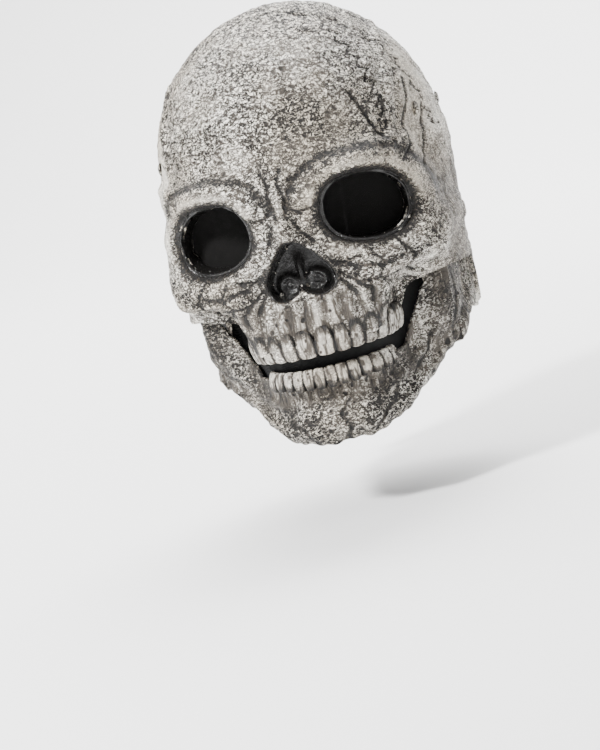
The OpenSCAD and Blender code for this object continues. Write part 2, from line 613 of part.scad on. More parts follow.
// the skin's outside at the back, at one place across and one level, found by walking along the rays
function skull_back(x, z, y, n = 4) = n == 0 ? y
  : let (v = [x / kx, y / ky, z / kz] - head_mid, d = unit(v), p = skull_point(atan2(d[0], -d[1]), asin(d[2])),
      r = norm([p[0] / kx, p[1] / ky, p[2] / kz] - head_mid))
    skull_back(x, z, y + (r - norm(v)) / d[1] * ky, n - 1);
function back_y(x) = skull_back(x, tab_low + tab_h, 95 * ky);
module back_sheet(from, to, low, high, h) {
  n = 6;
  translate([0, 0, tab_low]) linear_extrude(height = h) polygon(concat(
    [for (i = [0 : n]) let (x = from + (to - from) * i / n) [x, back_y(x) + low]],
    [for (i = [n : -1 : 0]) let (x = from + (to - from) * i / n) [x, back_y(x) + high]]));
}
module closing_tab() { color(webbing) back_sheet(-24 * kx, tab_hinge_x - 0.4, 2.3, 3.9, tab_h); }
module tab_anchor() { color(webbing) back_sheet(tab_hinge_x + 0.4, 40 * kx, 0.7, 2.3, tab_h); }
module loop_patch() { color(webbing) back_sheet(-24 * kx, -4 * kx, 0.7, 1.8, tab_h); }
module slit_tape() {
  nr = 12;
  color(webbing) for (s = [-1, 1]) {
    points = [for (t = [skin_wall + 1, skin_wall + 1.8]) for (i = [0 : 1]) for (j = [0 : nr - 1])
      let (az = s > 0 ? 178.6 - 6.6 * (1 - i) : -178.6 + 6.6 * i, el = -40 + 50 * j / (nr - 1))
      skull_inset(az, el, t)];
    wall_from(points, 2, nr);
  }
}

skull_skin();
left_eye_screen();
right_eye_screen();
mouth_cloth();
head_frame();
forehead_pad();
crown_pad();
left_temple_pad();
right_temple_pad();
nape_pad();
rear_strap();
strap_slider();
left_strap_stud();
right_strap_stud();
left_front_rivet();
right_front_rivet();
left_rear_rivet();
right_rear_rivet();
left_hinge_post();
right_hinge_post();
left_hinge_washer();
right_hinge_washer();
left_hinge_bush();
right_hinge_bush();
jaw_skin();
jaw_frame();
chin_pad();
left_jaw_rivet();
right_jaw_rivet();
left_return_band();
right_return_band();
slit_tape();
closing_tab();
tab_anchor();
loop_patch();
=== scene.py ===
import bpy, bmesh, json, math
import numpy as np
from mathutils import Matrix, Vector, noise


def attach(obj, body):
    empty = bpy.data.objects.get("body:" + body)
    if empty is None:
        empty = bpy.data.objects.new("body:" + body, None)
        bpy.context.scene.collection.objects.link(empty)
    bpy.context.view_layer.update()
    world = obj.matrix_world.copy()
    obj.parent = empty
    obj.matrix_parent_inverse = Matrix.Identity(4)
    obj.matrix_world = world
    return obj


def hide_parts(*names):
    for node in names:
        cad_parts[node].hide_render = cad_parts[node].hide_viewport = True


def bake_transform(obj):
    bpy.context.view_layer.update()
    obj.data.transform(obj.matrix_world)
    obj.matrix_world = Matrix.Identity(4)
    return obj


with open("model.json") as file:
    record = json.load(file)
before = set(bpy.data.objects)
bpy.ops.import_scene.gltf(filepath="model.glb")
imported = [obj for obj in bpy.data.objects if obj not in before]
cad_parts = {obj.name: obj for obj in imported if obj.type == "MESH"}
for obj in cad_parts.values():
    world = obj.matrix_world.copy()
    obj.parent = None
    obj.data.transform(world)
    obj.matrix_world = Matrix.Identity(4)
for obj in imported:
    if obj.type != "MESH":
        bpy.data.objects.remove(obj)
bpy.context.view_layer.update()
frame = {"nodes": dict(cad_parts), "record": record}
MM = 0.001


# ---------------------------------------------------------------- shader graph
class Val:
    """A shader socket that takes ordinary arithmetic."""

    def __init__(self, graph, socket):
        self.graph, self.socket = graph, socket

    def _do(self, kind, *others):
        return self.graph.node("ShaderNodeMath", {"operation": kind}, dict(enumerate((self,) + others)))

    def __add__(self, o):
        return self._do("ADD", o)

    def __radd__(self, o):
        return self._do("ADD", o)

    def __sub__(self, o):
        return self._do("SUBTRACT", o)

    def __mul__(self, o):
        return self._do("MULTIPLY", o)

    def __rmul__(self, o):
        return self._do("MULTIPLY", o)

    def __rsub__(self, o):
        return self.graph.node("ShaderNodeMath", {"operation": "SUBTRACT"}, {0: o, 1: self})

    def abs(self):
        return self._do("ABSOLUTE")

    def sin(self):
        return self._do("SINE")

    def max(self, o):
        return self._do("MAXIMUM", o)

    def clamp(self):
        return self._do("MAXIMUM", 0.0)._do("MINIMUM", 1.0)

    def step(self, low, high):
        """0 below low, 1 above high, smooth between them."""
        return self.graph.node("ShaderNodeMapRange", {"interpolation_type": "SMOOTHSTEP"},
                               {"Value": self, "From Min": low, "From Max": high})

    def __getitem__(self, axis):
        n = self.graph.make("ShaderNodeSeparateXYZ", {}, {0: self})
        return Val(self.graph, n.outputs[axis])


class Graph:
    """One material, built from expressions."""

    def __init__(self, name):
        self.mat = bpy.data.materials.new(name)
        self.mat.use_nodes = True
        self.tree = self.mat.node_tree
        self.bsdf = next(n for n in self.tree.nodes if n.type == "BSDF_PRINCIPLED")
        self.place = self.node("ShaderNodeTexCoord", {}, {}, out="Object")

    def make(self, kind, settings, inputs):
        n = self.tree.nodes.new(kind)
        for k, v in settings.items():
            setattr(n, k, v)
        for k, v in inputs.items():
            self.feed(n.inputs[k], v)
        return n

    def feed(self, socket, value):
        if isinstance(value, Val):
            self.tree.links.new(value.socket, socket)
        elif isinstance(value, (tuple, list)) and len(value) == 3 and socket.type == "RGBA":
            socket.default_value = (*value, 1)
        else:
            socket.default_value = value

    def node(self, kind, settings, inputs, out=0):
        return Val(self, self.make(kind, settings, inputs).outputs[out])

    def attr(self, name):
        return self.node("ShaderNodeAttribute", {"attribute_name": name}, {}, out="Fac")

    def grain(self, scale, detail=3.0, rough=0.55, warp=0.0, at=None):
        inputs = {"Vector": at or self.place, "Scale": scale, "Detail": detail}
        return self.node("ShaderNodeTexNoise", {}, {**inputs, "Roughness": rough, "Distortion": warp})

    def cells(self, scale, feature="F1", at=None, out="Distance"):
        where = {"Vector": at or self.place, "Scale": scale}
        return self.node("ShaderNodeTexVoronoi", {"feature": feature}, where, out)

    def stretch(self, x, y, z):
        return self.node("ShaderNodeVectorMath", {"operation": "MULTIPLY"}, {0: self.place, 1: (x, y, z)})

    def mix(self, fac, a, b):
        n = self.make("ShaderNodeMix", {"data_type": "RGBA"}, {})
        self.feed(n.inputs["Factor"], fac)
        for socket, v in ((n.inputs[6], a), (n.inputs[7], b)):
            self.feed(socket, v)
        return Val(self, n.outputs[2])

    def bump(self, height, depth, strength=1.0):
        return self.node("ShaderNodeBump", {}, {"Height": height, "Distance": depth, "Strength": strength})

    def done(self, **inputs):
        names = {"colour": "Base Color", "rough": "Roughness", "metal": "Metallic", "normal": "Normal",
                 "alpha": "Alpha", "specular": "Specular IOR Level"}
        for k, v in inputs.items():
            self.feed(self.bsdf.inputs[names[k]], v)
        return self.mat


def bone_rubber():
    g = Graph("painted_bone_rubber")
    wash_and_shade, gloss, smooth, lines = g.attr("wash_and_shade"), g.attr("gloss"), g.attr("smooth"), g.attr("lines")
    # some patterns are drawn on slightly bent space, so they don't look stamped
    bend = g.node("ShaderNodeTexNoise", {}, {"Vector": g.place, "Scale": 120.0, "Detail": 2.0}, "Color")
    bend = g.node("ShaderNodeVectorMath", {"operation": "MULTIPLY_ADD"},
                  {0: bend, 1: (0.006, 0.006, 0.006), 2: g.place})
    wander = g.grain(38, 4, 0.6)
    broad = g.grain(12, 3, 0.55)
    # worm-like stipple: thin valleys along the middle values of a noise
    flat = g.stretch(1.0, 1.0, 1.7)
    worm_a = 1 - (g.grain(215, 2.0, 0.5, 1.3, at=flat) - 0.5).abs().step(0.012, 0.06)
    worm_b = 1 - (g.grain(440, 2, 0.5, 0.8, at=bend) - 0.5).abs().step(0.01, 0.06)
    speck = g.grain(380, 2.5, 0.6, 0.5, at=flat).step(0.53, 0.60)

    def holes(scale, share, low, high, channel):
        near = g.cells(scale, at=bend)
        pick = g.node("ShaderNodeTexVoronoi", {}, {"Vector": bend, "Scale": float(scale)}, "Color")[channel]
        return (1 - near.step(low, high)) * pick.step(1 - share, 1.04 - share)

    pits = holes(95, 0.16, 0.10, 0.26, 0) * (1 - smooth * 0.7)
    small = holes(210, 0.42, 0.12, 0.42, 1) * (1 - smooth * 0.5)
    fibre = g.grain(1, 4, 0.6, 0.6, at=g.stretch(300, 300, 48)).step(0.32, 0.62)
    cluster = wander.step(0.36, 0.6)
    dense = (cluster * 0.45 + 0.55) * (1 - smooth * 0.6) * (1 - lines * 0.5)
    low = (worm_a * 1.1).max(worm_b * 0.95) * dense
    low = low.max(speck * 0.8 * dense).max(pits).max(small * 0.9)
    low = low.max((1 - fibre) * lines * 0.85)
    # paint: black paint stays in the low places and is wiped off the high ones; the darkening attribute
    # carries both black paint and painted shade in broad hollows, on the temple and ramus sides, round the
    # sockets and between the teeth
    dark = low * (0.95 + wash_and_shade * 0.4) + wash_and_shade * (0.40 + wander * 0.7) + (broad.step(0.42, 0.72) * 0.14)
    dark = dark.clamp()
    ivory = g.mix(broad.step(0.36, 0.64), (0.96, 0.92, 0.83), (0.76, 0.68, 0.55))
    ivory = g.mix(wander.step(0.52, 0.72) * 0.45, ivory, (0.60, 0.53, 0.43))
    mid = g.mix((dark * 2.0).clamp(), ivory, (0.085, 0.071, 0.056))
    colour = g.mix((dark * 2.0 - 1.0).clamp(), mid, (0.009, 0.008, 0.007))
    colour = g.mix(gloss, colour, (0.008, 0.0075, 0.007))
    rough = (0.46 + low * 0.3) * (1 - gloss) + gloss * 0.13
    height = (1 - low) * (1 - gloss * 0.9) + wander * 0.6
    return g.done(colour=colour, rough=rough, normal=g.bump(height, 0.0016, 1.0), specular=0.4)


def moulded(name, colour, rough=0.45):
    g = Graph(name)
    skin = g.grain(900, 2, 0.6)
    wear = g.grain(60, 4, 0.6)
    tint = g.mix(wear.step(0.35, 0.7), colour, tuple(c * 1.35 + 0.006 for c in colour))
    return g.done(colour=tint, rough=rough + wear * 0.16, normal=g.bump(skin, 0.00025, 0.6), specular=0.4)


def dull_steel():
    g = Graph("dull_steel")
    turned = g.grain(1, 3, 0.6, at=g.stretch(60, 900, 900))
    spots = g.grain(180, 4, 0.6)
    colour = g.mix(spots.step(0.5, 0.75), (0.50, 0.49, 0.47), (0.30, 0.28, 0.26))
    return g.done(colour=colour, metal=1.0, rough=0.32 + spots * 0.25, normal=g.bump(turned, 0.00012, 0.5))


def woven(name, colour, pitch, lift=0.0004, rough=0.8, alpha_holes=False):
    g = Graph(name)
    x, y, z = g.place[0], g.place[1], g.place[2]
    k = 2 * math.pi / pitch
    across = ((x + y) * k).sin() if not alpha_holes else (x * k).sin()
    up = (z * k).sin()
    thread = across.abs() * 0.5 + up.abs() * 0.5
    over = (across * up).step(-0.4, 0.4)
    fuzz = g.grain(1500, 2, 0.7)
    # threads passing under are painted in shade, threads passing over are painted lit
    thread_in_shade, thread_in_light = tuple(c * 0.55 for c in colour), tuple(min(1, c * 1.6 + 0.01) for c in colour)
    tint = g.mix(over * 0.6 + fuzz * 0.3, thread_in_shade, thread_in_light)
    extra = {}
    if alpha_holes:
        extra["alpha"] = 1 - (across.abs().step(0.6, 0.75) * up.abs().step(0.6, 0.75)) * 0.10
    return g.done(colour=tint, rough=rough, normal=g.bump(thread + over + fuzz * 0.3, lift, 0.8),
                  specular=0.08 if alpha_holes else 0.25, **extra)


def foam():
    g = Graph("foam")
    cells = g.cells(700, "F1")
    tone = g.grain(60, 3, 0.5)
    colour = g.mix(tone.step(0.3, 0.7), (0.045, 0.045, 0.05), (0.075, 0.075, 0.08))
    # painted shade inside the foam's pores
    colour = g.mix(1 - cells.step(0.1, 0.5), colour, (0.02, 0.02, 0.022))
    seam = g.attr("seam")
    row = ((g.place[0] + g.place[1] + g.place[2]) * 2600).sin().step(0.1, 0.5)
    colour = g.mix(seam.step(0.5, 0.8) * row, colour, (0.16, 0.16, 0.165))
    return g.done(colour=colour, rough=0.92, normal=g.bump(cells - seam * row, 0.0008, 0.8), specular=0.2)


MAT = {
    "bone": bone_rubber(),
    "frame": moulded("satin_frame_plastic", (0.022, 0.022, 0.024), 0.42),
    "buckle": moulded("satin_buckle_plastic", (0.016, 0.016, 0.016), 0.35),
    "nylon": moulded("white_nylon", (0.72, 0.72, 0.68), 0.38),
    "steel": dull_steel(),
    "webbing": woven("black_webbing", (0.018, 0.018, 0.02), 0.0022, 0.0005),
    "cloth": woven("black_knit_cloth", (0.012, 0.012, 0.012), 0.0013, 0.0003, 0.9),
    "screen": woven("black_eye_screen", (0.0025, 0.0022, 0.002), 0.0011, 0.0002, 0.8, True),
    "elastic": woven("black_elastic", (0.02, 0.02, 0.02), 0.0012, 0.0003, 0.7),
    "thread": moulded("black_thread", (0.03, 0.03, 0.032), 0.6),
    "loops": woven("black_loop_pile", (0.014, 0.014, 0.015), 0.0009, 0.0009, 0.95),
    "foam": foam(),
}


# ---------------------------------------------------------------- mesh helpers
def coords(mesh_or_verts):
    return np.array([v.co[:] for v in mesh_or_verts], float).reshape(-1, 3)


def move(verts, points):
    for v, p in zip(verts, points.tolist()):
        v.co = p


def unit(v):
    return v / np.maximum(np.linalg.norm(v, axis=-1, keepdims=True), 1e-9)


def smoothstep(a, b, x):
    t = np.clip((x - a) / (b - a), 0, 1)
    return t * t * (3 - 2 * t)


def bell(x, mid, width):
    return np.exp(-((x - mid) / width) ** 2)


def table(pairs, blur=0.0):
    """A function through the given pairs, rounded off over blur either side."""
    xs, ys = np.array(pairs, float).T
    if not blur:
        return lambda x: np.interp(x, xs, ys)
    fine = np.arange(xs[0] - 4 * blur, xs[-1] + 4 * blur, blur / 6)
    k = np.exp(-0.5 * (np.arange(-24, 25) / 6.0) ** 2)
    val = np.convolve(np.pad(np.interp(fine, xs, ys), 24, mode="edge"), k / k.sum(), mode="valid")
    return lambda x: np.interp(x, fine, val)


def near_path(p, path):
    """Distance from each point to a bent line."""
    best = np.full(len(p), 1e9)
    for a, b in zip(path[:-1], path[1:]):
        a, b = np.array(a, float), np.array(b, float)
        d = b - a
        t = np.clip(((p - a) @ d) / (d @ d), 0, 1)
        best = np.minimum(best, np.linalg.norm(p - a - t[:, None] * d, axis=1))
    return best


def near_line(p, path):
    """The same, measured over a ball round the head, so the line may lie above or below the surface."""
    def ball(q): return HEAD + unit(np.array(q, float) - HEAD) * 112
    return near_path(ball(p), ball(path))


def rough_noise(p, size, octaves=3):
    return np.array([noise.fractal(Vector(q) / size, 1.0, 2.0, octaves) for q in p.tolist()])


def to_object(name, bm, material, body, smooth=True, replaces=()):
    bmesh.ops.recalc_face_normals(bm, faces=bm.faces)
    me = bpy.data.meshes.new(name)
    bm.to_mesh(me)
    bm.free()
    me.polygons.foreach_set("use_smooth", [smooth] * len(me.polygons))
    ob = bpy.data.objects.new(name, me)
    bpy.context.scene.collection.objects.link(ob)
    me.materials.append(material)
    if body:
        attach(ob, body)
    if replaces:
        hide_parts(*replaces)
    return ob


def paint(ob, name, values):
    at = ob.data.attributes.get(name) or ob.data.attributes.new(name, "FLOAT", "POINT")
    at.data.foreach_set("value", np.asarray(values, np.float32))


def apply_modifiers(ob):
    deps = bpy.context.evaluated_depsgraph_get()
    me = bpy.data.meshes.new_from_object(ob.evaluated_get(deps))
    ob.modifiers.clear()
    ob.data = me


def hollows(ob, rounds):
    """How far each vertex lies below its surroundings, in mm."""
    me = ob.data
    co = np.empty(len(me.vertices) * 3)
    me.vertices.foreach_get("co", co)
    co = co.reshape(-1, 3)
    nor = np.empty(len(me.vertices) * 3)
    me.vertices.foreach_get("normal", nor)
    nor = nor.reshape(-1, 3)
    e = np.empty(len(me.edges) * 2, np.int32)
    me.edges.foreach_get("vertices", e)
    e = e.reshape(-1, 2)
    n = len(co)
    deg = np.bincount(e.ravel(), minlength=n).astype(float)
    out, cur, done = [], co.copy(), 0
    for r in rounds:
        while done < r:
            s = np.empty_like(cur)
            for k in range(3):
                s[:, k] = np.bincount(e[:, 0], cur[e[:, 1], k], n) + np.bincount(e[:, 1], cur[e[:, 0], k], n)
            cur = 0.5 * cur + 0.5 * s / deg[:, None]
            done += 1
        out.append(((cur - co) * nor).sum(1) * 1000)
    return out


# ---------------------------------------------------------------- skull surface, in millimetres
SKIN_WALL = 2.6
HEAD = np.array([0, 0, 30.0])  # where the rays to the surface start
CRANIUM = np.array([0, 12, 52.0])
CRANIUM_HALF = np.array([94, 118, 104.0])
SOCKET = np.array([51, -94, 24.0])
SOCKET_TURN = math.radians(18)
EYE_W, EYE_H, SCREEN_DEPTH = 29.6, 22.0, 23.0
ARCH_Y, ARCH_R = -60.0, 47.0
BITE, LOWER_EDGE = -59.0, -66.5
UPPER = list(zip([7.4, 20.8, 32.6, 44.2, 55.8, 67.8, 80, 92], [12.2, 10.0, 9.6, 9.5, 9.8, 10.2, 10.2, 9.6]))
LOWER = list(zip([5, 15.4, 26.2, 37.4, 49.2, 62, 75], [8.0, 8.0, 8.4, 8.6, 9.2, 10.0, 10.0]))


def smax(a, b, k): return np.maximum(a, b) + np.maximum(k - abs(a - b), 0) ** 2 / (4 * k)
def smin(a, b, k): return np.minimum(a, b) - np.maximum(k - abs(a - b), 0) ** 2 / (4 * k)


def oval_hit(p, q):
    a, b, c = (q * q).sum(-1), (p * q).sum(-1), (p * p).sum(-1) - 1
    return (-b + np.sqrt(b * b - a * c)) / np.maximum(a, 1e-9)


def bump(p, mid, half, high, steep=2.0, both=True):
    total = 0
    for side in ((1, -1) if both and mid[0] else (1,)):
        v = (p - np.array(mid, float) * [side, 1, 1]) / half
        total = total + high * np.exp(-((v * v).sum(-1)) ** (steep / 2))
    return total


FORMS = [
    ((42, -86, 54), (36, 24, 12), 9, 2), ((80, -58, 26), (14, 24, 34), 10, 2),
    ((68, -64, -8), (22, 24, 15), 8, 2), ((0, -104, 50), (17, 14, 12), 5, 2),
    ((0, -104, 24), (9, 16, 17), 13, 2), ((0, -100, -48), (40, 22, 14), 3, 2),
    ((90, -46, 50), (20, 30, 26), -9, 2), ((74, -84, -84), (29, 36, 54), -42, 3),
    ((60, -60, -50), (16, 18, 16), -5, 2),
]
# how far below the horizon the skin's lower edge lies, by angle from the front
rim_angle = table([[0, 35.6], [12, 36.4], [24, 39.2], [28, 41.4], [33, 45], [38, 46.6], [44, 46.2], [48, 40],
                   [51, 34.5], [56, 31.6], [62, 31], [90, 32.5], [99, 34], [106, 44], [114, 47], [140, 45.5],
                   [180, 43.5]], 1.5)
NOSE = np.array([0, -104, -6.5])
nose_edge = table([[0, 22], [11.3, 21.4], [29.7, 17.6], [65.2, 16.4], [96.3, 20.1], [112.3, 22.6],
                   [128.5, 22.4], [144.6, 19.6], [159.7, 14.6], [180, 10.0]], 4)


def socket_frame(p, side):
    c, s = math.cos(SOCKET_TURN), math.sin(SOCKET_TURN) * side
    q = p - SOCKET * [side, 1, 1]
    u, v, w = q @ [c, s, 0], q[:, 2], q @ [s, -c, 0]
    droop = 0.10 * side * u  # the sockets hang a little lower at their outer corners
    v = v + droop
    k = 2 / 0.85
    rho = ((abs(u) / EYE_W) ** k + (abs(v) / EYE_H) ** k) ** (1 / k)
    return u, v, w, rho


def from_socket(u, v, w, side):
    c, s = math.cos(SOCKET_TURN), math.sin(SOCKET_TURN) * side
    v = v - 0.10 * side * u
    return SOCKET * [side, 1, 1] + np.outer(u, [c, s, 0]) + np.outer(w, [s, -c, 0]) + np.outer(v, [0, 0, 1.0])


def skull_point(az, el, fine=True):
    """Points of the outer surface for angles in degrees, and what is painted on them."""
    a, e = np.radians(az), np.radians(el)
    d = np.stack([np.sin(a) * np.cos(e), -np.cos(a) * np.cos(e), np.sin(e)], -1)
    cran = oval_hit((HEAD - CRANIUM) / CRANIUM_HALF, d / CRANIUM_HALF)
    side = smin(oval_hit(np.array([0, 0.05]), d[:, :2] / [94, 100]), 30 / np.maximum(d[:, 2], 0.05), 14)
    r = np.where(el > 80, cran, smax(cran, side, 12))
    p = HEAD + d * r[:, None]
    add = sum(bump(p, *f) for f in FORMS)
    x, y, z = p.T
    ax = abs(x)
    front = smoothstep(-20, -50, y)
    # the smaller forms of brow, frown, nose root, cheek and upper jaw
    add = add + bump(p, (16, -106, 40), (12, 18, 8), 6.0) + bump(p, (42, -90, 53), (26, 20, 7), 4.5)
    add = add + bump(p, (0, -104, 38), (7, 18, 6), -5.5) + bump(p, (26, -96, -20), (9, 22, 11), -6.0)
    add = add + bump(p, (52, -82, -13), (18, 22, 9), 6.0) + bump(p, (72, -60, -12), (16, 22, 8), 4.0)
    add = add + bump(p, (12, -106, 4), (6, 16, 20), 3.0) + bump(p, (33, -90, -40), (8, 20, 10), -2.0)
    add = add + bump(p, (90, -30, 2), (30, 34, 8), 4.0) + bump(p, (88, -34, -16), (24, 24, 8), -3.0)
    lines = np.zeros(len(p))
    wash_and_shade = np.zeros(len(p))
    # tooth roots stand as upright ridges above the gum line
    if fine:
        ang = np.degrees(np.arctan2(x, -(y - ARCH_Y)))
        roots = sum(bell(ang, s * t, 4.2) for t, _ in UPPER[:5] for s in (1, -1))
        zone = smoothstep(-16, -30, z) * front * smoothstep(62, 50, abs(ang))
        add = add + zone * (roots * 2.6 - 1.3)
        wash_and_shade = wash_and_shade + zone * (1 - roots).clip(0, 1) * 0.35
        for t, wide in UPPER:
            for s in (1, -1):
                f = np.hypot((ang - s * t) / (wide * 0.70), np.maximum(z - BITE, 0) / 17.5)
                wash_and_shade = wash_and_shade + 0.9 * bell(f, 1.0, 0.11) * front
        lines = np.maximum(lines, zone * 0.8)
    p = p + d * add[:, None]
    # temple ridge, arches and cracks as shallow lines
    gloss = np.zeros(len(p))
    soft = np.zeros(len(p))
    if fine:
        x, y, z = p.T
        ax = abs(x)
        q = np.stack([ax, y, z], -1)
        ridge = near_line(q, [(70, -78, 50), (76, -62, 72), (77, -44, 96), (72, -18, 118), (66, 16, 130)])
        cut = np.zeros(len(p))
        lift = 1.6 * bell(ridge, 0, 4.0) - 0.9 * bell(ridge, 7, 4.0)
        soft = smoothstep(6, 14, ridge) * smoothstep(62, 80, ax)
        soft = soft * smoothstep(-66, -50, y) * smoothstep(58, -6, y)
        s = np.degrees(np.arctan2(x, z - 30))
        wav = 2.2 * np.sin(s * 0.85) + 1.5 * np.sin(s * 2.3 + 1) + 1.0 * np.sin(s * 4.7)
        suture = abs(y - (-26 + 0.16 * np.maximum(150 - z, 0)) - wav)
        suture = suture * smoothstep(20, 60, z) + 30 * smoothstep(60, 20, z)
        wav2 = 1.8 * np.sin(y * 0.42) + 1.2 * np.sin(y * 1.05 + 2)
        mid_seam = abs(x - wav2) + 40 * smoothstep(-16, -26, y) + 40 * smoothstep(118, 96, z)
        rear_seam = abs(z - 96 + 0.55 * ax - 1.8 * np.sin(ax * 0.45) - 1.2 * np.sin(ax * 1.1))
        rear_seam = rear_seam + 40 * smoothstep(70, 60, y)
        for line in (suture, mid_seam, rear_seam):
            cut = np.maximum(cut, bell(line, 0, 1.1) * 0.8)
        bent = p + np.outer(2.8 * np.sin(z * 0.72) + 1.0 * np.sin(z * 1.5 + 1), [0.8, 0.6, 0])
        front_path = [(44, -38, 144), (60, -52, 124), (69, -60, 104), (72, -64, 84), (71, -72, 64)]
        front_seam = near_line(bent, front_path)
        cut = np.maximum(cut, bell(front_seam, 0, 1.1))
        edge = near_line(p, [(60, -84, 102), (64, -80, 84), (66, -78, 68), (72, -72, 52)])
        cut = np.maximum(cut, 0.9 * bell(edge, 0, 1.2))
        frown = [[(3, -112, 30), (5, -110, 40), (3, -108, 50), (6, -106, 58)],
                 [(4, -112, 36), (12, -108, 31), (20, -104, 33), (27, -100, 40)],
                 [(7, -112, 26), (10, -108, 18), (15, -106, 12)]]
        for path in frown:
            cut = np.maximum(cut, bell(near_line(q, path), 0, 1.0) * 0.85)
        cracks = [[(74, -70, 44), (80, -58, 52), (79, -50, 66), (84, -38, 78), (82, -26, 92)],
                  [(84, -52, 36), (90, -40, 44), (91, -30, 58), (89, -18, 70)],
                  [(62, -84, -2), (66, -76, -10), (60, -76, -18), (66, -66, -26)],
                  [(30, -98, -6), (36, -96, -12), (32, -94, -18), (40, -90, -24), (37, -88, -30)],
                  [(44, -90, -2), (49, -86, -9), (44, -86, -17), (51, -80, -26)],
                  [(34, -96, -9), (48, -86, -10), (60, -78, -7)],
                  [(24, -100, -12), (32, -94, -18), (44, -86, -18), (56, -78, -20)],
                  [(20, -104, -4), (28, -98, -6), (38, -92, -3)]]
        for path in cracks:
            cut = np.maximum(cut, bell(near_line(q, path), 0, 1.0) * (0.75 if path[0][1] < -85 else 1))
        web = near_line(q, [(20, -104, 0), (26, -100, -8), (24, -98, -16), (30, -94, -24)])
        cut = np.maximum(cut, bell(web, 0, 1.3) * 0.7)
        lift = lift + 1.0 * rough_noise(p, 11.0) + 0.6 * rough_noise(p + 40, 4.5, 2) - 1.8 * cut
        p = p + d * lift[:, None]
        wash_and_shade = wash_and_shade + cut * 1.0
        # painted shade: the sides of the head below the temples are drawn darker
        wash_and_shade = wash_and_shade + 0.35 * smoothstep(64, 80, ax) * smoothstep(60, 20, z) * smoothstep(-66, -40, y)
    # eye sockets: the skin turns over the rim and runs down a funnel to the screen
    hole = np.zeros(len(p), bool)
    for side in (1, -1):
        u, v, w, rho = socket_frame(p, side)
        above = smoothstep(-6, 10, v)
        rim = (2.2 + 1.2 * above) * bell(rho, 1.25, 0.14) - (0.6 + 1.6 * above) * bell(rho, 1.66, 0.11)
        rim = rim * (w > -45)
        on = (rho < 1.34) & (w > -50) & (p[:, 1] < -30)
        t = np.clip((rho - 0.55) / (1.34 - 0.55), 0, 1)
        new = 0.87 + (1.34 - 0.87) * t ** 2.3
        rise = 1 - np.maximum(1 - t / 0.72, 0) ** 2.2
        deep = -SCREEN_DEPTH + 0.6
        top = np.maximum(w + rim, deep + 2.5)
        nw = deep + (top - deep) * rise + 3.0 * bell(t, 0.34, 0.11) - 1.2 * bell(t, 0.54, 0.08)
        k = np.where(on, new / np.maximum(rho, 1e-6), 1)
        moved = from_socket(u * k, v * k, np.where(on, nw, w + rim), side)
        near = (rho < 2.0) & (w > -50) & (p[:, 1] < -30)
        p = np.where(near[:, None], moved, p)
        hole |= on & (rho < 0.55)
        dark = np.where(near, 1 - smoothstep(0.5, 1.0, t), 0)
        gloss = np.maximum(gloss, np.where(on, 1 - smoothstep(0.50, 0.72, t), 0))
        # the socket walls darken towards the black paint inside; painted highlight on the rim and painted
        # shade in the groove beyond it, both stronger on the upper side
        wash_and_shade = np.maximum(wash_and_shade, dark * 0.95) - (0.12 + 0.2 * above) * bell(rho, 1.30, 0.11) * near \
            + (0.2 + 0.45 * above) * bell(rho, 1.66, 0.09) * near
        soft = np.maximum(soft, (0.25 + 0.3 * above) * bell(rho, 1.28, 0.12) * near)
    # nose: a deep heart-shaped pocket under the bridge
    u, v, w = p[:, 0] - NOSE[0], p[:, 2] - NOSE[2], -(p[:, 1] - NOSE[1])
    turn = np.degrees(np.arctan2(abs(u) / 1.12, v))
    rho = np.hypot(u / 1.12, v * 1.0) / nose_edge(turn)
    on = (rho < 1.22) & (p[:, 1] < -60)
    t = np.clip((rho - 0.62) / (1.22 - 0.62), 0, 1)
    new = np.where(rho < 0.62, rho * 0.86 / 0.62, 0.86 + 0.36 * t ** 1.8)
    rise = 1 - np.maximum(1 - t / 0.7, 0) ** 2.0
    k = new / np.maximum(rho, 1e-6)
    nu, nv = u * k, v * k
    floor = -15.0 + 7.0 * bell(nu, 0, 1.6) * smoothstep(14, 4, nv)
    floor = floor + 4.5 * bell(np.hypot(abs(nu) - 9, nv + 7), 5.2, 1.8)
    floor = floor + 5 * bell(np.hypot(abs(nu) - 8.5, nv + 7), 0, 2.4)
    nw = floor + (w + 0.8 * bell(t, 0.85, 0.2) - floor) * rise
    p = np.where(on[:, None], np.stack([nu, NOSE[1] - nw, NOSE[2] + nv], -1), p)
    wash_and_shade = np.where(on, np.maximum(wash_and_shade, 1 - smoothstep(0.4, 0.8, t)), wash_and_shade)
    gloss = np.where(on, np.maximum(gloss, 1 - smoothstep(0.35, 0.6, t)), gloss)
    return p, hole, dict(wash_and_shade=wash_and_shade.clip(0, 1), gloss=gloss, smooth=soft, lines=lines)


def mark_layers(bm):
    return {name: bm.verts.layers.float.new(name) for name in ("wash_and_shade", "gloss", "smooth", "lines")}


def write_marks(verts, layers, marks):
    for name, values in marks.items():
        for vert, val in zip(verts, values.tolist()):
            vert[layers[name]] = val


def wash_and_shade_hollows(ob, deep, broad_shade_share, high_share):
    """Lets black paint settle in the fine hollows of a finished skin, paints shade into its broad hollows,
    and wipes the paint off the high places.
    """
    near, wide = hollows(ob, (3, 18))
    w = np.empty(len(ob.data.vertices), np.float32)
    ob.data.attributes["wash_and_shade"].data.foreach_get("value", w)
    w = w + smoothstep(0.12, 0.7, near) * 0.5 + smoothstep(*deep, wide) * broad_shade_share
    paint(ob, "wash_and_shade", np.clip(w - smoothstep(0.3, 2.2, -wide) * high_share, -0.3, 1))


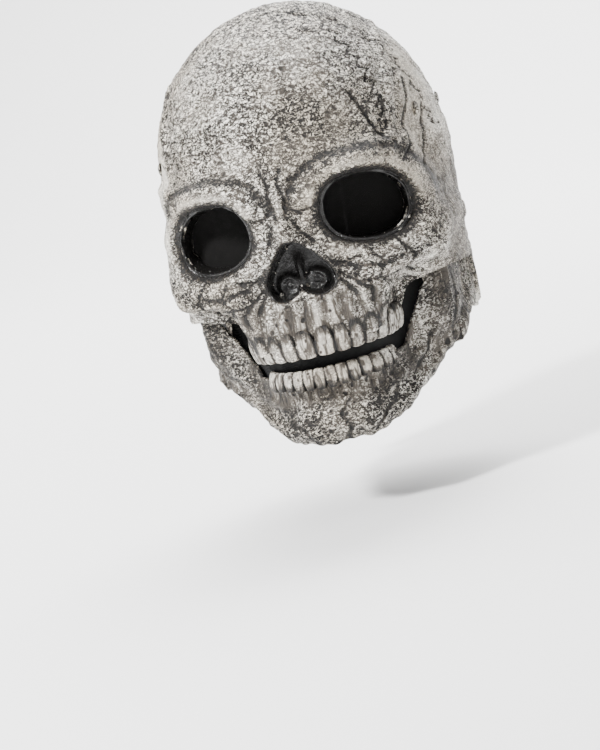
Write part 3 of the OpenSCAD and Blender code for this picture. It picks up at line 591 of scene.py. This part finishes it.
def skull_half(cols, rows, wall):
    """One wall of the skull: half a ball stretched over the head, with the eye holes left out."""
    bm = bmesh.new()
    bmesh.ops.create_uvsphere(bm, u_segments=cols, v_segments=rows * 2, radius=1)
    bmesh.ops.delete(bm, geom=[v for v in bm.verts if v.co.z < -1e-4], context="VERTS")
    layers = mark_layers(bm)
    bm.verts.index_update()
    verts = list(bm.verts)
    c = coords(verts)
    turn = np.degrees(np.arctan2(c[:, 0], -c[:, 1]))
    v = np.degrees(np.arcsin(np.clip(c[:, 2], -1, 1))) / 90
    az = turn - 26 * np.sin(np.radians(turn))
    low = -rim_angle(abs(az))
    el = np.minimum(low + (90 - low) * v ** 1.3, 89.999)
    p, hole, marks = skull_point(az, el, fine=wall == 0)
    if wall:
        h = 0.6
        du = skull_point(az + h, el, False)[0] - skull_point(az - h, el, False)[0]
        dv = skull_point(az, np.minimum(el + h, 89.99), False)[0] - skull_point(az, el - h, False)[0]
        n = unit(np.cross(du, dv))
        n[v > 0.985] = [0, 0, 1]
        p = p - n * wall
    move(verts, p * MM)
    if wall:
        marks = {name: np.full(len(verts), 0.15 if name == "smooth" else 0.0) for name in marks}
    write_marks(verts, layers, marks)
    dead = [f for f in bm.faces if all(hole[vv.index] for vv in f.verts)]
    bmesh.ops.delete(bm, geom=dead, context="FACES")
    bmesh.ops.delete(bm, geom=[vv for vv in bm.verts if not vv.link_faces], context="VERTS")
    me = bpy.data.meshes.new("wall")
    bm.to_mesh(me)
    bm.free()
    return me


def edge_rings(bm):
    """The open edges of bm, sorted into closed rings."""
    left = {e for e in bm.edges if e.is_boundary}
    rings = []
    while left:
        ring, todo = [], [left.pop()]
        while todo:
            e = todo.pop()
            ring.append(e)
            for v in e.verts:
                for f in v.link_edges:
                    if f in left:
                        left.discard(f)
                        todo.append(f)
        rings.append(ring)
    return rings


def make_skull():
    bm = bmesh.new()
    size = (((340, 206), (140, 88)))
    for (cols, rows), wall in zip(size, (0, SKIN_WALL)):
        me = skull_half(cols, rows, wall)
        bm.from_mesh(me)
        bpy.data.meshes.remove(me)
    rings = edge_rings(bm)
    rings.sort(key=len, reverse=True)

    def centre(r): return sum((v.co.x for e in r for v in e.verts)) / (2 * len(r))

    bmesh.ops.bridge_loops(bm, edges=rings[0] + rings[1])
    rest = rings[2:]
    for side in (1, -1):
        bmesh.ops.bridge_loops(bm, edges=[e for r in rest if centre(r) * side > 0.01 for e in r])
    ob = to_object("skull_skin_looks", bm, MAT["bone"], None)
    # the slit up the back
    cutter = bmesh.new()
    at = Matrix.Translation((0, 0.1, -0.031)) @ Matrix.Diagonal((0.002, 0.12, 0.178, 1))
    bmesh.ops.create_cube(cutter, size=1, matrix=at)
    tool = to_object("slit_cutter", cutter, MAT["bone"], None)
    m = ob.modifiers.new("slit", "BOOLEAN")
    m.object, m.operation, m.solver = tool, "DIFFERENCE", "EXACT"
    apply_modifiers(ob)
    bpy.data.objects.remove(tool)
    wash_and_shade_hollows(ob, (0.5, 3.2), 0.55, 0.38)
    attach(ob, "skull")
    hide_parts("skull_skin")


# ---------------------------------------------------------------- jaw surface
# radius low down and high up, upper edge and lower edge, by angle from the front
jaw_low_r = table([[0, 90], [10, 89], [22, 84], [34, 77], [45, 72.5], [58, 73], [66, 76.5], [72, 79.5],
                   [80, 82], [92, 83.2], [104, 85.6]], 2)
jaw_high_r = table([[0, 90], [10, 89], [22, 84], [34, 77], [45, 73.5], [50, 74.5], [56, 77], [61, 81.5],
                    [66, 87.2], [72, 87.1], [80, 84.5], [92, 83.2], [104, 85.6]], 1.5)
jaw_top = table([[0, -72], [30, -72], [42, -70], [48, -57], [54, -45], [60, -32], [66, -16], [72, -2],
                 [82, 12], [98, 13], [104, 6]], 1.2)
jaw_low = table([[0, -116], [12, -116], [24, -113], [44, -103], [62, -91], [74, -80], [90, -70],
                 [104, -58]], 2.5)
JAW_REACH = 104  # degrees from the chin to the jaw's rear edge
JAW_MID_Y = -8  # the jaw's angles turn about the line x = 0, y = -8


def jaw_point(a, z, fine=True):
    aa = abs(a)
    h = smoothstep(-84, -50, z)
    r = jaw_low_r(aa) * (1 - h) + jaw_high_r(aa) * h
    c = np.maximum(0, 1 - aa / 60)
    v = (z - jaw_low(aa)) / (jaw_top(aa) - jaw_low(aa))
    r = r + c * (3.5 * bell(z, -104, 9) - 4.5 * bell(z, -86, 8))
    r = r + np.where(aa < 75, -5 * np.maximum(0, 1 - v * 4) ** 2, 0)
    wash_and_shade = np.zeros(len(a))
    lines = np.zeros(len(a))
    plain = r
    if fine:
        r = r + 3.6 * bell(z, -107, 6) * bell(aa, 12, 6) + 1.5 * bell(z, -97, 6) * bell(aa, 0, 5)
        dip = np.exp(-((aa - 22) / 5.5) ** 2 - ((z + 94) / 7.5) ** 2)
        r, wash_and_shade = r - 2.5 * dip, wash_and_shade + 0.45 * dip
        border = z - jaw_low(aa)
        r = r + 2.0 * bell(border, 6, 4) * smoothstep(14, 34, aa)
        r = r - 1.6 * bell(border, 15, 5) * smoothstep(20, 40, aa)
        ridge = [(34, -88), (56, -84), (74, -70), (82, -52), (88, -22)]
        oblique = near_path(np.stack([aa * 1.3, z], -1), ridge)
        r = r + 2.2 * bell(oblique, 0, 4.5) - 1.2 * bell(oblique, 10, 6) * (aa < 66)
        # the angle as seen from the middle of the tooth arch
        t = np.radians(a)
        arc = np.degrees(np.arctan2(r * np.sin(t), r * np.cos(t) - JAW_MID_Y + ARCH_Y))
        roots = sum(bell(arc, q * at, 4.0) for at, _ in LOWER[:5] for q in (1, -1))
        zone = smoothstep(-95, -84, z) * smoothstep(56, 44, aa)
        r = r + zone * (roots * 2.0 - 1.0)
        wash_and_shade = wash_and_shade + zone * (1 - roots).clip(0, 1) * 0.3
        lines = np.maximum(lines, zone * 0.8)
        cut = np.zeros(len(a))
        flat = np.stack([a * 1.35, z], -1)
        cracks = [[(4, -116), (7, -106), (3, -98), (9, -91)], [(20, -112), (27, -104), (34, -101), (40, -93)],
                  [(-14, -114), (-18, -104), (-30, -99)], [(60, -88), (70, -80), (76, -66)],
                  [(96, -76), (93, -60), (98, -46), (94, -30)],
                  [(-96, -76), (-93, -60), (-98, -46), (-94, -30)]]
        for path in cracks:
            cut = np.maximum(cut, bell(near_path(flat, path), 0, 1.1))
        r = r - 1.2 * cut
        # black paint in the cracks; the whole jaw a little darker, with painted shade on the sides of the
        # ramus
        wash_and_shade = wash_and_shade + 0.9 * cut + 0.10 + 0.25 * smoothstep(50, 62, aa) * smoothstep(100, 80, aa)
        lines = np.maximum(lines, 0.5 * smoothstep(52, 66, aa))
    t = np.radians(a)
    p = np.stack([r * np.sin(t), JAW_MID_Y - r * np.cos(t), z], -1)
    if fine:
        # hollows stay short of the frame behind the skin
        r = smax(r + 1.0 * rough_noise(p, 10.0) + 0.6 * rough_noise(p + 70, 4.5, 2), plain - 2.0, 1.0)
        p = np.stack([r * np.sin(t), JAW_MID_Y - r * np.cos(t), z], -1)
    return p, dict(wash_and_shade=wash_and_shade, lines=lines, smooth=0 * wash_and_shade, gloss=0 * wash_and_shade)


def make_jaw():
    bm = bmesh.new()
    layers = mark_layers(bm)
    cols, rows = ((300, 70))
    bmesh.ops.create_grid(bm, x_segments=cols, y_segments=rows, size=1)
    c = coords(bm.verts)
    a = JAW_REACH * c[:, 0]
    v = (c[:, 1] + 1) / 2
    low, top = jaw_low(abs(a)), jaw_top(abs(a))
    wob = 0.8 * np.sin(a * 0.31) + 0.5 * np.sin(a * 0.83 + 1)
    p, marks = jaw_point(a, low + (top - low) * v)
    p[:, 2] += wob * (1 - v)
    move(bm.verts, p * MM)
    write_marks(bm.verts, layers, marks)
    ob = to_object("jaw_skin_looks", bm, MAT["bone"], None)
    if ob.data.polygons[len(ob.data.polygons) // 2].normal.y > 0:
        ob.data.flip_normals()
    m = ob.modifiers.new("wall", "SOLIDIFY")
    m.thickness, m.offset = SKIN_WALL * MM, -1
    apply_modifiers(ob)
    wash_and_shade_hollows(ob, (0.4, 2.6), 0.5, 0.3)
    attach(ob, "jaw")
    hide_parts("jaw_skin")


# ---------------------------------------------------------------- teeth
def make_teeth(name, body, list_of, edge, high, radius, up):
    """A row of crowns along the arch, where up is 1 for crowns that hang from above."""
    bm = bmesh.new()
    wash_and_shade = bm.verts.layers.float.new("wash_and_shade")
    stria = bm.verts.layers.float.new("lines")
    for i, (angle, width) in enumerate(list_of):
        for s in (1, -1):
            seed = i * 2 + (s > 0) + (0 if up > 0 else 31)
            jig = np.array([noise.noise(Vector((seed * 1.7, k * 3.1, 0.5))) for k in range(4)])
            start = len(bm.verts)
            made = bmesh.ops.create_cube(bm, size=2)
            faces = {f for v in made["verts"] for f in v.link_faces}
            edges = list({e for f in faces for e in f.edges})
            bmesh.ops.subdivide_edges(bm, edges=edges, cuts=5, use_grid_fill=True)
            bm.verts.ensure_lookup_table()
            new = bm.verts[start:]
            c = coords(new)
            k = 5.5
            c = c / ((abs(c) ** k).sum(1) ** (1 / k))[:, None]
            X, Y, Z = c.T
            z01 = (1 - Z * up) / 2  # 0 at the root end, 1 at the biting edge
            wide = width / 2 * (0.72 + 0.36 * smoothstep(0, 0.6, z01)) * (1 + 0.03 * jig[0])
            thick = 3.4 * (1 - 0.35 * smoothstep(0.45, 1, z01)) * (1.2 if i > 3 else 1)
            h = high - (1.2 if i > 2 else 0.4 * (i == 1)) + 0.6 * jig[1]
            loc = np.stack([X * wide, Y * thick + 0.8 * z01, np.zeros(len(X))], -1)
            lobes = 0.28 * np.cos(X * math.pi * 2.0) * (Y < 0) * smoothstep(0.1, 0.9, z01)
            loc[:, 1] -= lobes
            zz = edge + up * ((1 - z01) * (h + 4.5)) + up * 0.5 * (X ** 2) * (z01 > 0.6)
            # past the curve of the arch the row runs nearly straight back
            back = max(0, angle - 72) * math.radians(radius)
            a = math.radians(s * min(angle, 72))
            turn = a + math.radians(3.5 * jig[2])
            ca, sa = math.cos(turn), math.sin(turn)
            lean = 0.10 if up > 0 else 0.26
            base_x = radius * math.sin(a) + s * back * lean
            base_y = ARCH_Y - radius * math.cos(a) + back * 0.96
            # Y = -1 is the outer face
            px = base_x + loc[:, 0] * ca - loc[:, 1] * sa
            py = base_y + loc[:, 0] * sa + loc[:, 1] * ca
            move(new, np.stack([px, py, zz], -1) * MM)
            # painted shade between the teeth, at the gum end and on their inner faces
            tooth_shade = np.maximum(smoothstep(0.74, 0.98, abs(X)) * 0.95, smoothstep(0.26, 0.12, z01) * 0.7)
            tooth_shade = np.maximum(tooth_shade, (Y > 0.2) * 0.8)
            for vert, val in zip(new, tooth_shade.tolist()):
                vert[wash_and_shade] = val - 0.1
                vert[stria] = 0.9
    ob = to_object(name, bm, MAT["bone"], body)
    m = ob.modifiers.new("round", "SUBSURF")
    m.levels = m.render_levels = 1
    apply_modifiers(ob)
    return ob


# ---------------------------------------------------------------- soft goods
def node_copy(node):
    """A merged copy of a CAD solid's mesh, in place."""
    bm = bmesh.new()
    bm.from_mesh(frame["nodes"][node].data)
    bm.transform(frame["nodes"][node].matrix_world)
    bmesh.ops.remove_doubles(bm, verts=bm.verts, dist=1e-5)
    return bm


def make_pad(node, body, out_of):
    """A foam pad: rounded, swollen by pressure, with a piped seam round its side."""
    ob = to_object(node + "_cushion", node_copy(node), MAT["foam"], None)
    m = ob.modifiers.new("even", "REMESH")
    m.mode, m.voxel_size = "VOXEL", 0.0018
    apply_modifiers(ob)
    ob.data.polygons.foreach_set("use_smooth", [True] * len(ob.data.polygons))
    bm = bmesh.new()
    bm.from_mesh(ob.data)
    for _ in range(7):
        bmesh.ops.smooth_vert(bm, verts=bm.verts, factor=0.5,
                              use_axis_x=True, use_axis_y=True, use_axis_z=True)
    bm.to_mesh(ob.data)
    bm.free()
    rest = coords(ob.data.vertices)
    c = ob.modifiers.new("swell", "CLOTH")
    c.settings.use_pressure, c.settings.uniform_pressure_force = True, 4.0
    c.settings.effector_weights.gravity = 0
    c.point_cache.frame_start, c.point_cache.frame_end = 1, 20
    for f in range(1, 21):
        bpy.context.scene.frame_set(f)
    deps = bpy.context.evaluated_depsgraph_get()
    me = ob.evaluated_get(deps).to_mesh()
    new = coords(me.vertices)
    ob.evaluated_get(deps).to_mesh_clear()
    ob.modifiers.clear()
    d = new - rest
    far = np.linalg.norm(d, axis=1, keepdims=True)
    new = rest + d * np.minimum(1, 0.0007 / np.maximum(far, 1e-9))
    move(ob.data.vertices, new)
    bpy.context.scene.frame_set(1)
    m = ob.modifiers.new("fine", "SUBSURF")
    m.levels = m.render_levels = 1
    apply_modifiers(ob)
    co = coords(ob.data.vertices)
    nor = np.array([v.normal[:] for v in ob.data.vertices])
    away = unit((co - np.array(out_of) * MM) * ([1, 1, 0] if out_of[2] == 0 else [0, 0, 1]))
    lean = (nor * away).sum(1)
    near, = hollows(ob, (10,))
    rim = smoothstep(0.25, 0.9, -near)
    co = co + nor * (0.35 * bell(lean, 0, 0.16) - 0.5 * bell(abs(lean), 0.42, 0.14))[:, None] * MM
    move(ob.data.vertices, co)
    paint(ob, "seam", bell(lean, 0, 0.2) * 0.8 + rim * 0.2)
    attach(ob, body)
    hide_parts(node)
    return ob


def make_screen(node, side):
    """The dark gauze that the wearer sees through, stretched over the foot of a socket."""
    bm = bmesh.new()
    bmesh.ops.create_grid(bm, x_segments=36, y_segments=28, size=1)
    c = coords(bm.verts)
    big = np.maximum(abs(c[:, 0]), abs(c[:, 1]))
    k = 2 / 0.85
    grow = big / np.maximum((abs(c[:, 0]) ** k + abs(c[:, 1]) ** k) ** (1 / k), 1e-9)
    half_wide, half_high = 27.2, 20.8
    u, v = c[:, 0] * grow * half_wide, c[:, 1] * grow * half_high
    dish = 1 - (u / half_wide) ** 2 - (v / half_high) ** 2
    w = -SCREEN_DEPTH - 0.6 - 1.6 * dish + 0.12 * np.sin(u * 0.8) * np.sin(v * 0.7)
    move(bm.verts, from_socket(u, v, w, side) * MM)
    ob = to_object(node + "_gauze", bm, MAT["screen"], None)
    m = ob.modifiers.new("cloth", "SOLIDIFY")
    m.thickness, m.offset = 0.0005, 0
    apply_modifiers(ob)
    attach(ob, "skull")
    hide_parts(node)
    return ob


def make_mouth_cloth():
    """Black knit behind the teeth, sewn to the gum above and the jaw below."""
    bm = bmesh.new()
    bmesh.ops.create_grid(bm, x_segments=110, y_segments=36, size=1)
    c = coords(bm.verts)
    a, t = c[:, 0] * 66, (c[:, 1] + 1) / 2
    aa = abs(a)
    top = table([[0, -41], [30, -41], [42, -38], [50, -18], [58, -8], [66, -6]], 2)(aa)
    low = table([[0, -80], [30, -80], [42, -79], [50, -71], [58, -57], [66, -42]], 2)(aa)
    r_top = table([[0, 85], [12, 84], [24, 78], [34, 69], [42, 62], [50, 62], [58, 66], [66, 70]], 2)(aa)
    r_low = table([[0, 84], [12, 83], [24, 77], [34, 70], [42, 67], [50, 67], [58, 69], [66, 71]], 2)(aa)
    z = low + (top - low) * t
    r = r_low + (r_top - r_low) * t + 0.5 * np.sin(a * 0.5) * np.sin(t * 3.1) - 2.0 * np.sin(t * math.pi)
    s = np.radians(a)
    move(bm.verts, np.stack([r * np.sin(s), -8 - r * np.cos(s), z], -1) * MM)
    ob = to_object("mouth_cloth_knit", bm, MAT["cloth"], None)
    m = ob.modifiers.new("cloth", "SOLIDIFY")
    m.thickness, m.offset = 0.0008, 0
    apply_modifiers(ob)
    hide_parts("mouth_cloth")
    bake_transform(ob)


def strip_from(node, body, material, name, thick=None, ribs=0.0, stitch=True):
    """A flat sewn piece that follows the CAD strip, with rounded corners and a row of stitches round it."""
    src = node_copy(node)
    c = coords(src.verts) / MM
    src.free()
    xs = np.unique(c[:, 0].round(1))
    ys = np.array([c[abs(c[:, 0] - x) < 0.11][:, 1].max() for x in xs])
    lo, hi = c.min(0), c.max(0)
    depth = thick or 1.0
    surface = lambda x: np.interp(x, xs, ys)
    bm = bmesh.new()
    bmesh.ops.create_grid(bm, x_segments=40, y_segments=20, size=1)
    g = coords(bm.verts)
    k = 9.0
    big = np.maximum(abs(g[:, 0]), abs(g[:, 1]))
    grow = big / np.maximum((abs(g[:, 0]) ** k + abs(g[:, 1]) ** k) ** (1 / k), 1e-9)
    mid, half = (lo + hi) / 2, (hi - lo) / 2 - [0.1, 0, 0.1]
    x, z = mid[0] + g[:, 0] * grow * half[0], mid[2] + g[:, 1] * grow * half[2]
    rim = smoothstep(0.86, 1.0, big)
    y = surface(x) - 0.15 + ribs * np.sin(x * 2.4) - 0.25 * rim
    move(bm.verts, np.stack([x, y, z], -1) * MM)
    ob = to_object(name, bm, material, None)
    if sum(p.normal.y for p in ob.data.polygons) < 0:
        ob.data.flip_normals()
    m = ob.modifiers.new("body", "SOLIDIFY")
    m.thickness, m.offset = (depth - 0.25) * MM, -1
    apply_modifiers(ob)
    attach(ob, body)
    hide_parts(node)
    if stitch:
        bm = bmesh.new()
        path, hx, hz = [], half[0] - 1.8, half[2] - 1.8
        for n, level in ((int(hx), True), (int(hz), False)):
            for i in range(n):
                q = -1 + (2 * i + 1) / n
                for s in (1, -1):
                    path.append((q * hx, s * hz, 0) if level else (s * hx, q * hz, 1))
        for dx, dz, up in path:
            size = (0.22, 0.16, 0.62) if up else (0.62, 0.16, 0.22)
            x0 = mid[0] + dx
            at = Matrix.Translation(Vector((x0, float(surface(x0)) - 0.12, mid[2] + dz)) * MM)
            bmesh.ops.create_icosphere(bm, subdivisions=1, radius=MM, matrix=at @ Matrix.Diagonal((*size, 1)))
        to_object(name + "_stitches", bm, MAT["thread"], body)
    return ob


def soft_copy(node, name, material, cuts, round_off=0.0):
    """A finely divided copy of a thin soft solid, its edges rolled over a little."""
    bm = node_copy(node)
    if round_off:
        sharp = [e for e in bm.edges if e.is_manifold and e.calc_face_angle(0) > 0.9]
        bmesh.ops.bevel(bm, geom=sharp, offset=round_off * MM, segments=2, profile=0.6,
                        affect="EDGES", clamp_overlap=True)
        bmesh.ops.remove_doubles(bm, verts=bm.verts, dist=1e-6)
    if cuts:
        long_edges = [e for e in bm.edges if e.calc_length() > 0.004]
        bmesh.ops.subdivide_edges(bm, edges=long_edges, cuts=cuts, use_grid_fill=True)
    ob = to_object(name, bm, material, None, smooth=False)
    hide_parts(node)
    return ob


def make_soft_goods():
    for side, name in ((1, "left"), (-1, "right")):
        make_screen(name + "_eye_screen", side)
        band = soft_copy(name + "_return_band", name + "_return_elastic", MAT["elastic"], 3, 0.35)
        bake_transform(band)
        make_pad(name + "_temple_pad", "skull", (0, 0, 0))
    make_mouth_cloth()
    make_pad("forehead_pad", "skull", (0, -10, 0))
    make_pad("crown_pad", "skull", (0, 12, -900))
    make_pad("nape_pad", "skull", (0, 10, 0))
    make_pad("chin_pad", "jaw", (0, -8, 0))
    strap = soft_copy("rear_strap", "rear_strap_webbing", MAT["webbing"], 0, 0.25)
    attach(strap, "skull")
    tape = soft_copy("slit_tape", "slit_tape_cloth", MAT["cloth"], 2)
    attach(tape, "skull")
    strip_from("closing_tab", "tab", MAT["webbing"], "closing_tab_webbing", 1.6, 0.06)
    strip_from("tab_anchor", "skull", MAT["webbing"], "tab_anchor_webbing", 1.6, 0.06)
    strip_from("loop_patch", "skull", MAT["loops"], "loop_patch_pile", 1.1, 0.0)


# ---------------------------------------------------------------- stage
def make_stage():
    bm = bmesh.new()
    bmesh.ops.create_grid(bm, x_segments=2, y_segments=60, size=1)
    for v in bm.verts:
        t = (v.co.y + 1) / 2
        v.co.x *= 6
        if t < 0.6:
            v.co.y, v.co.z = -5 + 7 * t / 0.6, 0
        else:
            a = (t - 0.6) / 0.4 * math.pi / 2
            v.co.y, v.co.z = 2 + 3 * math.sin(a), 3 * (1 - math.cos(a)) * 1.4
    g = Graph("pale_paper")
    mat = g.done(colour=g.mix(g.grain(3, 2, 0.5), (0.86, 0.86, 0.86), (0.88, 0.88, 0.875)), rough=0.9,
                 normal=g.bump(g.grain(400, 2, 0.5), 0.0002, 0.3))
    floor = to_object("floor", bm, mat, None)
    floor.location.z = -0.165
    world = bpy.data.worlds.new("studio")
    world.use_nodes = True
    back = next(n for n in world.node_tree.nodes if n.type == "BACKGROUND")
    back.inputs[0].default_value = (1, 1, 1, 1)
    back.inputs[1].default_value = 0.75
    bpy.context.scene.world = world

    def light(name, at, size, power, aim=(0, -0.04, 0.02)):
        data = bpy.data.lights.new(name, "AREA")
        data.shape, data.size, data.energy = "DISK", size, power
        ob = bpy.data.objects.new(name, data)
        bpy.context.scene.collection.objects.link(ob)
        ob.location = at
        ob.rotation_euler = (Vector(aim) - Vector(at)).to_track_quat("-Z", "Y").to_euler()
        return ob

    light("back", (0, 1.9, 1.9), 2.6, 230, (0, 2.0, -0.165))
    light("key", (-0.9, -1.1, 1.2), 0.3, 88)
    light("fill", (1.5, -1.2, 0.3), 1.2, 4)
    light("top", (0.1, 0.6, 1.7), 0.9, 20)


def make_camera():
    a, e = math.radians(11.5), math.radians(8)
    r = Vector((math.cos(a), math.sin(a), 0))
    u = Vector((-math.sin(a) * math.sin(e), math.cos(a) * math.sin(e), math.cos(e)))
    b = r.cross(u)
    right, up = 0.968 * r - 0.25 * u, 0.25 * r + 0.968 * u
    data = bpy.data.cameras.new("camera")
    data.lens, data.sensor_width = 133, 36
    data.clip_end = 50
    data.dof.use_dof = False
    cam = bpy.data.objects.new("camera", data)
    bpy.context.scene.collection.objects.link(cam)
    m = Matrix((right.normalized(), up.normalized(), b.normalized())).transposed().to_4x4()
    m.translation = right * -0.0137 + up * -0.087 + b * 1.8
    cam.matrix_world = m
    bpy.context.scene.camera = cam


make_camera()
make_stage()
make_skull()
make_jaw()
make_teeth("upper_teeth", "skull", UPPER, BITE, 14.0, ARCH_R - 0.6, 1)
make_teeth("lower_teeth", "jaw", LOWER, LOWER_EDGE, 9.0, ARCH_R - 7.6, -1)
make_soft_goods()

SLOT_OF = {s["node"]: s["material_slot"] for s in frame["record"]["subparts"]}
LOOK = {"eye_mesh": "screen", "black_cloth": "cloth", "frame_plastic": "frame", "foam": "foam",
        "webbing": "webbing", "buckle_plastic": "buckle", "steel": "steel", "nylon": "nylon",
        "elastic": "elastic", "bone_rubber": "bone"}
for name, ob in frame["nodes"].items():
    ob.data.materials.clear()
    painted = name.endswith(("_rivet", "_hinge_post"))  # their heads are painted over with the rubber
    ob.data.materials.append(MAT["bone"] if painted else MAT[LOOK[SLOT_OF[name]]])
